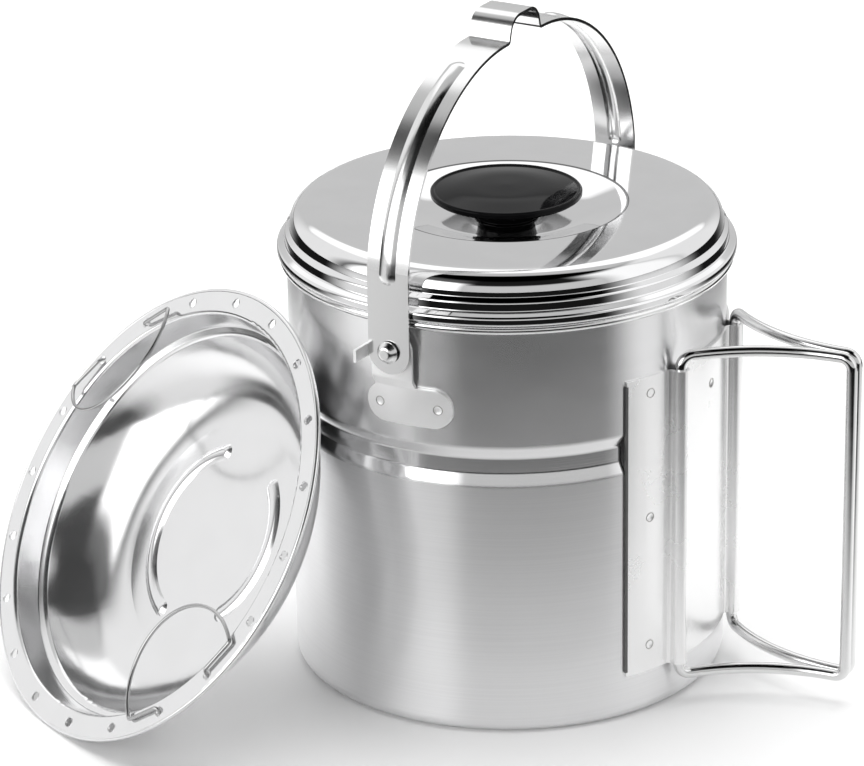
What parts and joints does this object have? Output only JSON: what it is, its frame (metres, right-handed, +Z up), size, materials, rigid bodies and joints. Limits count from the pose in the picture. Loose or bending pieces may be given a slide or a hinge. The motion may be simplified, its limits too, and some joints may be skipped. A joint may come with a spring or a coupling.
{
  "type": "hanging cooking pot",
  "caption": "Tall steel camp pot with plug lid and black knob, arched bail, folding wire side handle and a perforated steamer tray leaning on it.",
  "frame": {"origin": "centre of the pot's flat base, on the surface it stands on", "axes": "+Z up the pot's axis, the bail turns about Y, the side handle stands out near +X, the tray leans on the -X, -Y side"},
  "size_m": [0.2693, 0.218, 0.217],
  "materials": {
    "steel": "polished stainless steel",
    "strip_steel": "satin stainless steel",
    "wire_steel": "bright drawn wire",
    "rivet_steel": "bright",
    "knob_plastic": "glossy black moulding",
    "insert_brass": "machined"
  },
  "bodies": {
    "pot": {"pot_body": "steel", "handle_bracket": "strip_steel", "bail_lug_near": "strip_steel", "bail_lug_far": "strip_steel", "bail_rivet_near": "rivet_steel", "bail_rivet_far": "rivet_steel", "bail_washer_near": "strip_steel", "bail_washer_far": "strip_steel"},
    "bail": {"bail": "strip_steel"},
    "wire_near": {"wire_handle_near": "wire_steel"},
    "wire_far": {"wire_handle_far": "wire_steel"},
    "lid": {"lid_shell": "steel", "lid_knob": "knob_plastic", "knob_insert": "insert_brass", "knob_screw": "strip_steel", "knob_washer": "strip_steel", "knob_spring_washer": "strip_steel"},
    "tray": {"steamer_tray": "steel"},
    "loop_low": {"tray_loop_low": "wire_steel"},
    "loop_high": {"tray_loop_high": "wire_steel"}
  },
  "joints": [
    {"name": "bail_hinge", "type": "hinge", "parent": "pot", "child": "bail", "pos_m": [0, 0, 0.1275], "axis": [0, 1, 0], "range_deg": [-28, 85]},
    {"name": "wire_near_fold", "type": "hinge", "parent": "pot", "child": "wire_near", "pos_m": [0.07095, -0.01716, 0.065], "axis": [0, 0, -1], "range_deg": [0, 150]},
    {"name": "wire_far_fold", "type": "hinge", "parent": "pot", "child": "wire_far", "pos_m": [0.06824, 0.02592, 0.065], "axis": [0, 0, 1], "range_deg": [0, 150]},
    {"name": "lid_lift", "type": "slide", "parent": "pot", "child": "lid", "axis": [0, 0, 1], "range_m": [0, 0.009]},
    {"name": "tray_away", "type": "slide", "parent": "pot", "child": "tray", "axis": [-0.6704, -0.742, 0], "range_m": [0, 0.06]},
    {"name": "loop_low_fold", "type": "hinge", "parent": "tray", "child": "loop_low", "pos_m": [-0.03949, -0.13463, 0.02874], "axis": [0.7285, 0.1316, 0.6723], "range_deg": [0, 90]},
    {"name": "loop_high_fold", "type": "hinge", "parent": "tray", "child": "loop_high", "pos_m": [-0.11984, -0.04152, 0.09758], "axis": [-0.7285, -0.1316, -0.6723], "range_deg": [-18, 72]}
  ]
}
